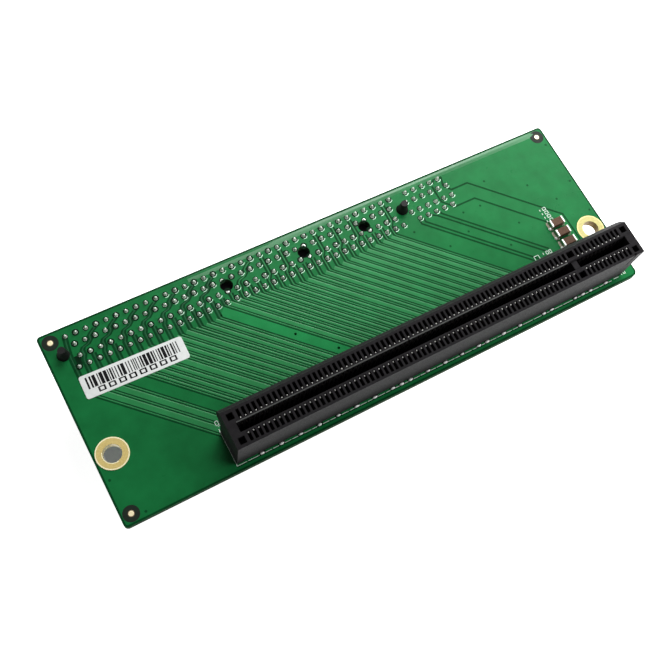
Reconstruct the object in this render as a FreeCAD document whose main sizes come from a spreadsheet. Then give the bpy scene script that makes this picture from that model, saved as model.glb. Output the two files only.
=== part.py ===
"""PCI Express x16 riser card.

A green circuit board carries a through-hole x16 card slot on its top side, near the front edge, and a
through-hole x16 edge plug on its underside, near the back edge.  The plug goes into a host's slot and
the slot then takes a card beside it.

Frame: X to the right along the board, Y to its back edge, Z up.  The origin is the midpoint between the
two mounting holes, on the board's underside.  All lengths are millimetres.
"""
import FreeCAD
import Part
import os
import re
import Sketcher

doc = FreeCAD.newDocument("riser_card")

# ------------------------------------------------------------------------------------------------
# Driving dimensions
# ------------------------------------------------------------------------------------------------
SIZES = [
    # where the two connectors sit on the board
    ("plug_end_from_right", 24.1, "plug's short end to the board's right end"),
    ("end_peg_from_left", 3.25, "plug's end peg to the board's left end"),
    ("plug_from_back", 5.2, "plug's centre line to the back edge"),
    ("plug_to_slot", 29.4, "plug's centre line to the slot's centre line"),
    ("slot_from_front", 4.9, "slot's centre line to the front edge"),
    ("slot_end_from_right", 3.75, "slot's short end to the board's right end"),
    # the board
    ("board_thick", 1.6, "laminate with its copper and mask"),
    ("corner_radius", 0.8, "three corners of the board"),
    ("cut_corner_radius", 1.2, "front right corner of the board"),
    # the mounting holes
    ("hole_from_end", 3.5, "hole centre to the board's end"),
    ("hole_from_front", 13.35, "hole centre to the front edge"),
    ("hole_bore", 3.5, "clear bore for an M3 screw"),
    ("plating_thick", 0.1, "wall and flange of the plated lining"),
    ("ring_width", 6.15, "outer diameter of the gold ring"),
    # contacts of an x16 connector, measured from the centre of its key
    ("pitch", 1.0, "contact to contact"),
    ("key_to_contact", 1.5, "first contact on each side of the key"),
    ("short_contacts", 11, "contact positions on the short side of the key"),
    ("long_contacts", 71, "contact positions on the long side of the key"),
    ("one_lane_contacts", 7, "of them, those that an x1 connector has"),
    ("four_lane_contacts", 21, "of them, those that an x4 connector has"),
    ("eight_lane_contacts", 38, "of them, those that an x8 connector has"),
    ("inner_row", 1.25, "centre line to the inner rows of leads"),
    ("outer_row", 3.25, "centre line to the outer rows of leads"),
    # locating pegs, one at the key and one past the last contact
    ("peg_past_contact", 1.65, "last contact to the end peg"),
    ("peg_width", 2.3, "diameter of a peg"),
    ("peg_tip_width", 1.4, "diameter of its tip"),
    ("peg_past_board", 2.6, "peg beyond the far face of the board"),
    ("peg_taper", 2.7, "tapered length of a peg"),
    ("peg_clearance", 0.13, "radial clearance of a peg in its hole"),
    ("peg_rim", 0.06, "laminate kept clear of solder round a peg hole"),
    # housing shared by both connectors
    ("groove_past_short", 1.1, "last contact to the groove's short end"),
    ("groove_past_long", 1.2, "last contact to the groove's long end"),
    ("end_wall_short", 1.9, "end wall of a housing at the short end"),
    ("end_wall_long", 1.8, "end wall of a housing at the long end"),
    ("standoff", 0.5, "gap under a housing, for washing"),
    ("foot_length", 1.6, "standing feet at both ends of a housing"),
    # slot housing
    ("slot_height", 11.25, "board to the top of the slot"),
    ("slot_half_top", 3.6, "half width of the top face"),
    ("slot_draft", 0.15, "each wall leans in by this at the base"),
    ("rail_out", 1.3, "rounded rail on the back wall, proud of the top face"),
    ("rail_bend", 2.6, "depth at which the rail reaches its full width"),
    ("rail_depth", 4.6, "depth of the rail and of the front notch"),
    ("groove_half", 0.9, "half width of the card groove"),
    ("groove_depth", 8.6, "depth of the card groove"),
    ("groove_lead", 0.2, "lead-in chamfer along the groove"),
    ("key_half", 0.62, "half thickness of the key rib"),
    ("key_drop", 0.4, "key rib below the top face"),
    ("window_inner", 1.3, "centre line to the near edge of a contact window"),
    ("window_wall", 0.5, "wall outside the contact windows"),
    ("window_width", 0.6, "window along the row"),
    ("ridge_depth", 0.85, "ridge between the groove and the windows, at the groove"),
    ("core_inner", 1.7, "centre line to the near edge of a core hole"),
    ("core_wall", 0.6, "wall outside the core holes"),
    ("core_depth", 3.0, "depth of the core holes"),
    ("core_width", 1.25, "core hole along the row"),
    ("core_from_short_end", 1.4, "core centre to the short end"),
    ("core_from_long_end", 1.45, "core centre to the long end"),
    ("key_core_width", 1.5, "core hole beside the key"),
    ("notch_from_short_end", 1.85, "thin notch in the front wall"),
    ("notch_width", 0.5, "notch along the wall"),
    ("notch_bite", 0.4, "notch into the wall"),
    # slot contacts
    ("contact_thick", 0.4, "stamped blade, along the row"),
    ("contact_foot", 1.9, "centre line to the foot of the blade"),
    ("contact_foot_width", 0.6, "foot of the blade"),
    ("contact_bow", 0.77, "centre line to the bow that wipes the card"),
    ("contact_bow_depth", 2.8, "top face to the bow"),
    ("contact_tip", 1.62, "centre line to the tip"),
    ("contact_tip_depth", 0.4, "top face to the tip"),
    # edge plug
    ("plug_half", 3.75, "half width of the plug's base"),
    ("plug_base", 6.5, "board to the underside of the plug's base"),
    ("plug_base_draft", 0.35, "base narrows by this on each side"),
    ("blade_length", 8.6, "blade below its base"),
    ("blade_thick", 1.41, "blade without its contacts"),
    ("blade_play", 0.1, "blade shorter than a slot's groove at each end"),
    ("blade_lead", 0.45, "lead-in chamfer on the blade's tip"),
    ("key_notch_half", 0.95, "half width of the key notch"),
    ("key_notch_root", 0.9, "base to the root of the key notch"),
    ("finger_width", 0.7, "contact finger along the row"),
    ("finger_crown", 0.1, "crown of a contact finger"),
    ("finger_from_tip", 0.9, "blade tip to the end of a finger"),
    # soldered leads
    ("joint_width", 1.0, "foot of a solder cone"),
    ("joint_height", 0.9, "height of a solder cone with its lead"),
    # chip capacitors
    ("cap_length", 3.2, "chip"),
    ("cap_width", 1.6, "chip"),
    ("cap_height", 1.25, "chip"),
    ("cap_end", 0.45, "metal end of a chip"),
    ("cap_end_skin", 0.03, "metal end proud of the ceramic"),
    ("cap_pitch", 2.42, "chip to chip"),
    ("cap_from_right", 10.05, "centre of the chips to the board's right end"),
    ("cap_from_front", 12.75, "centre of the front chip to the front edge"),
    # label
    ("label_length", 20.1, "paper label"),
    ("label_width", 4.7, "paper label"),
    ("label_thick", 0.08, "paper with its adhesive"),
    ("label_radius", 0.5, "corners of the label"),
    ("label_from_left", 3.75, "left end of the board to the label"),
    ("label_from_back", 10.35, "back edge of the board to the label's left corner"),
    ("label_turn", 1.7, "degrees that the label lies askew"),
]

sheet = doc.addObject("Spreadsheet::Sheet", "Sizes")
for row, (alias, value, remark) in enumerate(SIZES, start=1):
    sheet.set("A%d" % row, alias)
    sheet.set("B%d" % row, str(value))
    sheet.set("C%d" % row, remark)
    sheet.setAlias("B%d" % row, alias)
doc.recompute()

ALIASES = re.compile(r"\b(%s)\b" % "|".join(alias for alias, value, remark in SIZES))

# lengths worked out along a connector, from the centre of its key
GROOVE_SHORT = "(key_to_contact + (short_contacts - 1) * pitch + groove_past_short)"
GROOVE_LONG = "(key_to_contact + (long_contacts - 1) * pitch + groove_past_long)"
SHORT_END = "(%s + end_wall_short)" % GROOVE_SHORT
LONG_END = "(%s + end_wall_long)" % GROOVE_LONG
PEG_SPAN = "(key_to_contact + (long_contacts - 1) * pitch + peg_past_contact)"
EMPTY_PEGS = ["(key_to_contact + (%s - 1) * pitch + peg_past_contact)" % count
              for count in ("one_lane_contacts", "four_lane_contacts", "eight_lane_contacts")]

# places worked out on the board, from the midpoint between its mounting holes
BOARD_LENGTH = "(%s + %s + end_peg_from_left + plug_end_from_right)" % (SHORT_END, PEG_SPAN)
BOARD_WIDTH = "(slot_from_front + plug_to_slot + plug_from_back)"
RIGHT = "(%s / 2)" % BOARD_LENGTH
FRONT = "(-hole_from_front)"
BACK = "(%s - hole_from_front)" % BOARD_WIDTH
RING_X = "(%s - hole_from_end)" % RIGHT
SLOT_X = "(%s - slot_end_from_right - %s)" % (RIGHT, SHORT_END)
SLOT_Y = "(%s + slot_from_front)" % FRONT
PLUG_X = "(%s - plug_end_from_right - %s)" % (RIGHT, SHORT_END)
PLUG_Y = "(%s - plug_from_back)" % BACK

# the two groups of contacts: first position from the left, and how many
GROUPS = (
    ("short", "key_to_contact", "short_contacts"),
    ("long", "(-key_to_contact - (long_contacts - 1) * pitch)", "long_contacts"),
)


def cells(text):
    """A formula over the sheet's aliases, as FreeCAD reads it."""
    return ALIASES.sub(r"Sizes.\1", str(text))


def value(text):
    """The present value of a formula."""
    return float(sheet.evalExpression(cells(text)))


def bind(thing, **formulas):
    """Drives properties of an object by formulas."""
    for name, text in formulas.items():
        thing.setExpression(name.replace("__", "."), cells(text))


# ------------------------------------------------------------------------------------------------
# Bodies, sketches and features
# ------------------------------------------------------------------------------------------------
def new_body(label, x=0, y=0, z=0):
    """A sub-part whose own origin is placed by formulas."""
    body = doc.addObject("PartDesign::Body", label)
    body.Label = label
    body.AllowCompound = True
    bind(body, Placement__Base__x=x, Placement__Base__y=y, Placement__Base__z=z)
    return body


def new_sketch(body, name, plane="XY_Plane", offset=0):
    """An empty sketch on one of the body's own planes, lifted off it by a formula."""
    sketch = body.newObject("Sketcher::SketchObject", name)
    support = [part for part in body.Origin.OriginFeatures if part.Role == plane][0]
    sketch.AttachmentSupport = [(support, "")]
    sketch.MapMode = "FlatFace"
    bind(sketch, AttachmentOffset__Base__z=offset)
    return sketch


def fix_point(sketch, line, x, y, tag):
    """Ties the first point of a line to formulas, measured from the sketch's origin."""
    for kind, text in (("DistanceX", x), ("DistanceY", y)):
        number = sketch.addConstraint(Sketcher.Constraint(kind, -1, 1, line, 1, value(text)))
        sketch.renameConstraint(number, tag + kind[-1])
        sketch.setExpression("Constraints." + tag + kind[-1], cells(text))


def add_outline(sketch, points, tag):
    """A closed outline through points that are pairs of formulas."""
    spots = [FreeCAD.Vector(value(x), value(y), 0) for x, y in points]
    lines = []
    for here, there in zip(spots, spots[1:] + spots[:1]):
        lines.append(sketch.addGeometry(Part.LineSegment(here, there), False))
    for here, there in zip(lines, lines[1:] + lines[:1]):
        sketch.addConstraint(Sketcher.Constraint("Coincident", here, 2, there, 1))
    for number, (line, (x, y)) in enumerate(zip(lines, points)):
        fix_point(sketch, line, x, y, "%s%d" % (tag, number))
    return lines


def add_box(sketch, x_low, x_high, y_low, y_high, tag):
    """A rectangle between formulas."""
    corners = [(x_low, y_low), (x_high, y_low), (x_high, y_high), (x_low, y_high)]
    return add_outline(sketch, corners, tag)


def add_circle(sketch, x, y, radius, tag):
    """A circle whose centre and radius are formulas."""
    centre = FreeCAD.Vector(value(x), value(y), 0)
    shape = Part.Circle(centre, FreeCAD.Vector(0, 0, 1), value(radius))
    ring = sketch.addGeometry(shape, False)
    for kind, text in (("DistanceX", x), ("DistanceY", y)):
        number = sketch.addConstraint(Sketcher.Constraint(kind, -1, 1, ring, 3, value(text)))
        sketch.renameConstraint(number, tag + kind[-1])
        sketch.setExpression("Constraints." + tag + kind[-1], cells(text))
    number = sketch.addConstraint(Sketcher.Constraint("Radius", ring, value(radius)))
    sketch.renameConstraint(number, tag + "R")
    sketch.setExpression("Constraints." + tag + "R", cells(radius))


def pad(body, sketch, length, down=False, name=None):
    """Pads a sketch along its normal, or against it."""
    feature = body.newObject("PartDesign::Pad", name or sketch.Name + "_pad")
    feature.Profile = sketch
    feature.Reversed = down
    bind(feature, Length=length)
    return feature


def pocket(body, sketch, length, up=False, name=None):
    """Cuts a sketch against its normal, or along it, and checks that it removed material."""
    doc.recompute()
    before = body.Tip.Shape.Volume
    feature = body.newObject("PartDesign::Pocket", name or sketch.Name + "_cut")
    feature.Profile = sketch
    feature.Reversed = up
    bind(feature, Length=length)
    doc.recompute()
    if feature.Shape.Volume >= before:
        raise ValueError("%s of %s cuts nothing" % (feature.Name, body.Label))
    return feature


def repeat(body, feature, count, step, name):
    """Repeats a feature along the body's X axis, at a fixed step."""
    pattern = body.newObject("PartDesign::LinearPattern", name)
    axis = [part for part in body.Origin.OriginFeatures if part.Role == "X_Axis"][0]
    pattern.Originals = [feature]
    pattern.Direction = (axis, [""])
    bind(pattern, Occurrences=count, Length="(%s - 1) * (%s)" % (count, step))
    body.Tip = pattern
    return pattern


# ------------------------------------------------------------------------------------------------
# Board and plated mounting rings
# ------------------------------------------------------------------------------------------------
def upright_edges(shape):
    """Numbers of the vertical edges of a plain plate, by corner."""
    found = {}
    for number, edge in enumerate(shape.Edges, start=1):
        here, there = [vertex.Point for vertex in edge.Vertexes]
        if abs(here.x - there.x) + abs(here.y - there.y) < 1e-6:
            found[(here.x > 0, here.y > 0)] = "Edge%d" % number
    return found


def peg_places(x, y, spans):
    """Peg centres along a connector, from its key towards its long end."""
    return [("%s - %s" % (x, span), y) for span in spans]


def make_board():
    """The laminate, with the mounting holes and every peg hole through it."""
    body = new_body("circuit_board")
    outline = new_sketch(body, "board_outline")
    add_box(outline, "-" + RIGHT, RIGHT, FRONT, BACK, "edge")
    plate = pad(body, outline, "board_thick")
    doc.recompute()
    corners = upright_edges(plate.Shape)
    small = body.newObject("PartDesign::Fillet", "board_corners")
    small.Base = (plate, [edge for corner, edge in corners.items() if corner != (True, False)])
    bind(small, Radius="corner_radius")
    doc.recompute()
    large = body.newObject("PartDesign::Fillet", "board_cut_corner")
    large.Base = (small, [upright_edges_of_corner(small.Shape)])
    bind(large, Radius="cut_corner_radius")
    doc.recompute()
    holes = new_sketch(body, "board_holes")
    lining = "hole_bore / 2 + plating_thick"
    for side, x in (("left", "-" + RING_X), ("right", RING_X)):
        add_circle(holes, x, "0", lining, side)
    radius = "peg_width / 2 + peg_clearance"
    places = peg_places(PLUG_X, PLUG_Y, ["0", PEG_SPAN] + EMPTY_PEGS)
    places += peg_places(SLOT_X, SLOT_Y, ["0", PEG_SPAN])
    for number, (x, y) in enumerate(places):
        add_circle(holes, x, y, radius, "peg%d" % number)
    pocket(body, holes, "board_thick * 2", up=True)
    return body


def upright_edges_of_corner(shape):
    """The one sharp upright edge that is left, at the front right."""
    for number, edge in enumerate(shape.Edges, start=1):
        here, there = [vertex.Point for vertex in edge.Vertexes]
        upright = abs(here.x - there.x) + abs(here.y - there.y) < 1e-6
        at_corner = abs(here.x - value(RIGHT)) + abs(here.y - value(FRONT)) < 1e-3
        if upright and at_corner:
            return "Edge%d" % number
    raise ValueError("the board has no sharp corner left")


def make_ring(label, x):
    """A plated lining with a gold ring on both faces of the board, as one turned piece."""
    body = new_body(label, x=x)
    section = new_sketch(body, label + "_section", "XZ_Plane")
    inside = "hole_bore / 2"
    wall = "hole_bore / 2 + plating_thick"
    rim = "ring_width / 2"
    low = "-plating_thick"
    high = "board_thick + plating_thick"
    add_outline(
        section,
        [(inside, low), (rim, low), (rim, "0"), (wall, "0"), (wall, "board_thick"),
         (rim, "board_thick"), (rim, high), (inside, high)],
        "ring")
    turned = body.newObject("PartDesign::Revolution", label + "_turned")
    turned.Profile = section
    turned.ReferenceAxis = (section, ["V_Axis"])
    turned.Angle = 360
    return body


# ------------------------------------------------------------------------------------------------
# Parts that both connectors have: feet, pegs and soldered leads
# ------------------------------------------------------------------------------------------------
def add_feet(body, half_width, down):
    """The feet that hold a housing off the board, at both ends."""
    feet = new_sketch(body, body.Label + "_feet")
    spans = ((SHORT_END + " - foot_length", SHORT_END), ("-" + LONG_END, "foot_length - " + LONG_END))
    for tag, (low, high) in zip(("short", "long"), spans):
        add_box(feet, low, high, "-(%s)" % half_width, half_width, tag)
    return pad(body, feet, "standoff", down=down)


LEADS = (
    # row, centre line of the connector to the row, and which rows skip the contact next to the key on
    # the long side; on the short side it is the other rows that skip it
    ("back_outer", "outer_row", 0),
    ("back_inner", "inner_row", 1),
    ("front_inner", "-inner_row", 1),
    ("front_outer", "-outer_row", 0),
)


def add_cone(body, name, x, down):
    """A four-sided cone of solder that rises to the tip of its lead."""
    cone = body.newObject("PartDesign::AdditiveWedge", name)
    half = "joint_width / 2"
    bind(cone, Xmin="-" + half, Xmax=half, Ymin="0", Ymax="joint_height", Zmin="-" + half, Zmax=half)
    for edge in ("X2min", "X2max", "Z2min", "Z2max"):
        setattr(cone, edge, 0)
    turn = FreeCAD.Rotation(FreeCAD.Vector(1, 0, 0), -90 if down else 90)
    cone.Placement = FreeCAD.Placement(FreeCAD.Vector(0, 0, 0), turn)
    bind(cone, Placement__Base__x=x)
    return cone


def make_joints(prefix, x, y, z, down, empty_pegs):
    """Four rows of soldered leads, every second contact in each row, on the far face of the board."""
    for row, out, first in LEADS:
        body = new_body("%s_joints_%s" % (prefix, row), x=x, y="%s + %s" % (y, out), z=z)
        step = "2 * pitch"
        long_x = "-key_to_contact - %d * pitch" % first
        short_x = "key_to_contact + %d * pitch" % (1 - first)
        long_count = "floor((long_contacts + %d) / 2)" % (1 - first)
        short_count = "floor((short_contacts + %d) / 2)" % first
        start = "%s - (%s - 1) * (%s)" % (long_x, long_count, step)
        cone = add_cone(body, "%s_%s_long" % (prefix, row), start, down)
        repeat(body, cone, long_count, step, "%s_%s_long_row" % (prefix, row))
        cone = add_cone(body, "%s_%s_short" % (prefix, row), short_x, down)
        repeat(body, cone, short_count, step, "%s_%s_short_row" % (prefix, row))
        if empty_pegs and row.endswith("inner"):
            cut_round_pegs(body, out)


def cut_round_pegs(body, out):
    """Solder stops at the rim of an empty peg hole, so the cones beside one are cut back."""
    rims = new_sketch(body, body.Label + "_rims")
    radius = "peg_width / 2 + peg_clearance + peg_rim"
    for number, span in enumerate(EMPTY_PEGS):
        add_circle(rims, "-" + span, "-(%s)" % out, radius, "rim%d" % number)
    pocket(body, rims, "joint_height", up=True)


# ------------------------------------------------------------------------------------------------
# Card slot on the top side
# ------------------------------------------------------------------------------------------------
def groove_outline(depth_from_top):
    """The card groove across the housing, with its lead-in, down to a depth."""
    top = "slot_height"
    floor = "slot_height - (%s)" % depth_from_top
    return [
        ("-groove_half", floor), ("groove_half", floor), ("groove_half", top + " - groove_lead"),
        ("groove_half + groove_lead", top), ("-(groove_half + groove_lead)", top),
        ("-groove_half", top + " - groove_lead")]


SLOT_BASE = "(slot_half_top - slot_draft)"


def make_slot_housing():
    """The moulded housing: groove, key rib, contact windows, core holes, rail, notch, feet and pegs."""
    body = new_body("slot_housing", SLOT_X, SLOT_Y, "board_thick")
    section = new_sketch(body, "slot_section", "YZ_Plane", "-" + LONG_END)
    rail = "slot_half_top + rail_out"
    add_outline(
        section,
        [("-" + SLOT_BASE, "standoff"), (SLOT_BASE, "standoff"),
         (SLOT_BASE, "slot_height - rail_depth - rail_out"), (rail, "slot_height - rail_depth"),
         (rail, "slot_height - rail_bend"),
         ("slot_half_top + rail_out * 0.62", "slot_height - rail_bend * 0.5"),
         ("slot_half_top", "slot_height"), ("-slot_half_top", "slot_height")],
        "wall")
    pad(body, section, "%s + %s" % (LONG_END, SHORT_END))

    for tag, low, high in (("short", "key_half", GROOVE_SHORT), ("long", "-" + GROOVE_LONG, "-key_half")):
        groove = new_sketch(body, "slot_groove_" + tag, "YZ_Plane", low)
        add_outline(groove, groove_outline("groove_depth"), "groove")
        pocket(body, groove, "%s - (%s)" % (high, low), up=True)
    over_key = new_sketch(body, "slot_over_key", "YZ_Plane", "-key_half - groove_lead")
    add_outline(over_key, groove_outline("key_drop"), "groove")
    pocket(body, over_key, "2 * (key_half + groove_lead)", up=True)

    cores = new_sketch(body, "slot_cores", "XY_Plane", "slot_height")
    places = (("short", SHORT_END + " - core_from_short_end", "core_width / 2"),
              ("key", "0", "key_core_width / 2"),
              ("long", "core_from_long_end - " + LONG_END, "core_width / 2"))
    outer = "(slot_half_top - core_wall)"
    for tag, centre, half in places:
        for side, low, high in (("b", "core_inner", outer), ("f", "-" + outer, "-core_inner")):
            add_box(cores, "%s - %s" % (centre, half), "%s + %s" % (centre, half), low, high, tag + side)
    pocket(body, cores, "core_depth")

    notch = new_sketch(body, "slot_notch", "XY_Plane", "slot_height")
    notch_x = SHORT_END + " - notch_from_short_end"
    add_box(notch, notch_x + " - notch_width", notch_x, "-slot_half_top - notch_bite",
            "-slot_half_top + notch_bite", "notch")
    pocket(body, notch, "rail_depth")

    add_feet(body, SLOT_BASE, down=False)
    for tag, x in (("key_peg", "0"), ("end_peg", "-" + PEG_SPAN)):
        add_slot_peg(body, tag, x)

    for tag, first, count in GROUPS:
        window = new_sketch(body, "slot_window_" + tag, "YZ_Plane", "%s - window_width / 2" % first)
        for side, sign in (("b", ""), ("f", "-")):
            add_window(window, sign, side)
        cut = pocket(body, window, "window_width", up=True)
        repeat(body, cut, count, "pitch", "slot_windows_" + tag)
    return body


def add_window(sketch, sign, tag):
    """One contact window: open to the top, and open to the groove below a ridge of triangular section."""
    floor = "slot_height - groove_depth"
    inside = "groove_half - groove_lead"
    slope = "ridge_depth / (window_inner - groove_half)"
    under_ridge = "slot_height - %s * (window_inner - (%s))" % (slope, inside)
    outer = "(slot_half_top - window_wall)"
    corners = [(inside, floor), (outer, floor), (outer, "slot_height"),
               ("window_inner", "slot_height"), (inside, under_ridge)]
    add_outline(sketch, [("%s(%s)" % (sign, y), z) for y, z in corners], tag)


def add_slot_peg(body, tag, x):
    """A locating peg of the slot, down through the board."""
    length = "standoff + board_thick + peg_past_board - peg_taper"
    shank = body.newObject("PartDesign::AdditiveCylinder", "slot_" + tag)
    bind(shank, Radius="peg_width / 2", Height=length, Placement__Base__x=x,
         Placement__Base__z="standoff - (%s)" % length)
    tip = body.newObject("PartDesign::AdditiveCone", "slot_%s_tip" % tag)
    bind(tip, Radius1="peg_tip_width / 2", Radius2="peg_width / 2", Height="peg_taper",
         Placement__Base__x=x, Placement__Base__z="-board_thick - peg_past_board")


def make_slot_contacts(side, sign):
    """The spring contacts of one side: stamped blades that stand on their windows' floors, taper upwards
    and bow into the groove."""
    for tag, first, count in GROUPS:
        label = "slot_contacts_%s_%s" % (side, tag)
        body = new_body(label, SLOT_X, SLOT_Y, "board_thick")
        sketch = new_sketch(body, label + "_blade", "YZ_Plane", "%s - contact_thick / 2" % first)
        floor = "slot_height - groove_depth"
        corners = [("contact_foot", floor), ("contact_foot + contact_foot_width", floor),
                   ("contact_tip", "slot_height - contact_tip_depth"),
                   ("contact_bow", "slot_height - contact_bow_depth")]
        add_outline(sketch, [("%s(%s)" % (sign, y), z) for y, z in corners], "blade")
        blade = pad(body, sketch, "contact_thick")
        repeat(body, blade, count, "pitch", label + "_row")


# ------------------------------------------------------------------------------------------------
# Edge plug on the underside
# ------------------------------------------------------------------------------------------------
def make_plug_housing():
    """The moulded plug: a drafted base with feet and pegs, and the keyed blade below it."""
    body = new_body("plug_housing", PLUG_X, PLUG_Y, "0")
    section = new_sketch(body, "plug_section", "YZ_Plane", "-" + LONG_END)
    narrow = "plug_half - plug_base_draft"
    add_outline(
        section,
        [("-plug_half", "-standoff"), ("-plug_half", "-plug_base / 2"), ("-(%s)" % narrow, "-plug_base"),
         (narrow, "-plug_base"), ("plug_half", "-plug_base / 2"), ("plug_half", "-standoff")],
        "wall")
    pad(body, section, "%s + %s" % (LONG_END, SHORT_END))

    blade = new_sketch(body, "plug_blade", "YZ_Plane", "blade_play - " + GROOVE_LONG)
    half = "blade_thick / 2"
    tip = "-plug_base - blade_length"
    add_outline(
        blade,
        [("-" + half, "-plug_base"), ("-" + half, tip + " + blade_lead"), ("-%s + blade_lead" % half, tip),
         (half + " - blade_lead", tip), (half, tip + " + blade_lead"), (half, "-plug_base")],
        "blade")
    pad(body, blade, "%s + %s - 2 * blade_play" % (GROOVE_LONG, GROOVE_SHORT))
    notch = new_sketch(body, "plug_key", "XY_Plane", tip)
    add_box(notch, "-key_notch_half", "key_notch_half", "-blade_thick", "blade_thick", "key")
    pocket(body, notch, "blade_length - key_notch_root", up=True)

    add_feet(body, "plug_half", down=True)
    for tag, x in (("key_peg", "0"), ("end_peg", "-" + PEG_SPAN)):
        add_plug_peg(body, tag, x)
    return body


def add_plug_peg(body, tag, x):
    """A locating peg of the plug, up through the board."""
    length = "standoff + board_thick + peg_past_board - peg_taper"
    shank = body.newObject("PartDesign::AdditiveCylinder", "plug_" + tag)
    bind(shank, Radius="peg_width / 2", Height=length, Placement__Base__x=x,
         Placement__Base__z="-standoff")
    tip = body.newObject("PartDesign::AdditiveCone", "plug_%s_tip" % tag)
    bind(tip, Radius1="peg_width / 2", Radius2="peg_tip_width / 2", Height="peg_taper",
         Placement__Base__x=x, Placement__Base__z="-standoff + " + length)


def make_plug_contacts(side, sign):
    """The crowned contact fingers on one face of the blade, up to the base."""
    for tag, first, count in GROUPS:
        label = "plug_contacts_%s_%s" % (side, tag)
        body = new_body(label, PLUG_X, PLUG_Y, "0")
        section = new_sketch(body, label + "_section", "XY_Plane", "-plug_base")
        face = "%s(blade_thick / 2)" % sign
        crown = "%s(blade_thick / 2 + finger_crown)" % sign
        add_outline(section, [("%s - finger_width / 2" % first, face), (first, crown),
                              ("%s + finger_width / 2" % first, face)], "finger")
        finger = pad(body, section, "blade_length - finger_from_tip", down=True)
        repeat(body, finger, count, "pitch", label + "_row")


# ------------------------------------------------------------------------------------------------
# Chip capacitors and the label
# ------------------------------------------------------------------------------------------------
def make_capacitors():
    """Three chips in a column: the ceramic of each, and its two metal ends as one node."""
    for number in (1, 2, 3):
        place = (RIGHT + " - cap_from_right",
                 "cap_from_front - hole_from_front + %d * cap_pitch" % (3 - number), "board_thick")
        chip = new_body("capacitor_%d" % number, *place)
        ceramic = chip.newObject("PartDesign::AdditiveBox", "capacitor_%d_ceramic" % number)
        bind(ceramic, Length="cap_length - 2 * cap_end", Width="cap_width", Height="cap_height",
             Placement__Base__x="cap_end - cap_length / 2", Placement__Base__y="-cap_width / 2")
        ends = new_body("capacitor_ends_%d" % number, *place)
        for tag, start in (("left", "-cap_length / 2"), ("right", "cap_length / 2 - cap_end")):
            end = ends.newObject("PartDesign::AdditiveBox", "capacitor_%d_%s" % (number, tag))
            bind(end, Length="cap_end", Width="cap_width + 2 * cap_end_skin",
                 Height="cap_height + cap_end_skin", Placement__Base__x=start,
                 Placement__Base__y="-cap_width / 2 - cap_end_skin")


def make_label():
    """A paper label with round corners, stuck on a little askew."""
    body = new_body("barcode_label", "label_from_left - " + RIGHT, BACK + " - label_from_back",
                    "board_thick")
    body.Placement = FreeCAD.Placement(body.Placement.Base, FreeCAD.Rotation(FreeCAD.Vector(0, 0, 1), 0))
    bind(body, Placement__Rotation__Angle="-label_turn")
    paper = new_sketch(body, "label_outline")
    add_box(paper, "0", "label_length", "-label_width", "0", "edge")
    sheet_of_paper = pad(body, paper, "label_thick")
    doc.recompute()
    corners = []
    for number, edge in enumerate(sheet_of_paper.Shape.Edges, start=1):
        if abs(edge.Vertexes[0].Z - edge.Vertexes[1].Z) > 1e-6:
            corners.append("Edge%d" % number)
    rounded = body.newObject("PartDesign::Fillet", "label_corners")
    rounded.Base = (sheet_of_paper, corners)
    bind(rounded, Radius="label_radius")
    return body


# ------------------------------------------------------------------------------------------------
# Build, check and write
# ------------------------------------------------------------------------------------------------
make_board()
make_ring("mounting_ring_left", "-" + RING_X)
make_ring("mounting_ring_right", RING_X)
make_slot_housing()
make_slot_contacts("back", "")
make_slot_contacts("front", "-")
make_joints("slot", SLOT_X, SLOT_Y, "0", down=True, empty_pegs=False)
make_plug_housing()
make_plug_contacts("back", "")
make_plug_contacts("front", "-")
make_joints("plug", PLUG_X, PLUG_Y, "board_thick", down=False, empty_pegs=True)
make_capacitors()
make_label()
doc.recompute()

for item in doc.Objects:
    if "Invalid" in item.State or "Error" in item.State:
        raise ValueError("%s did not compute: %s" % (item.Name, item.State))

bodies = [item for item in doc.Objects if item.TypeId == "PartDesign::Body"]
for body in bodies:
    if body.Shape.isNull() or not body.Shape.isValid():
        raise ValueError("%s has no valid shape" % body.Label)

os.makedirs("parts", exist_ok=True)
for body in bodies:
    body.Shape.exportStep("parts/%s.step" % body.Label)
    print("%-28s %3d solids %10.3f mm3" % (body.Label, len(body.Shape.Solids), body.Shape.Volume))
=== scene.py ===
"""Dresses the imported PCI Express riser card: board print, solder, contacts, chips, label and finishes.

Places are in millimetres in the row frame, as in the CAD model, and are worked out from its boxes.
"""

import math
import random

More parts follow.
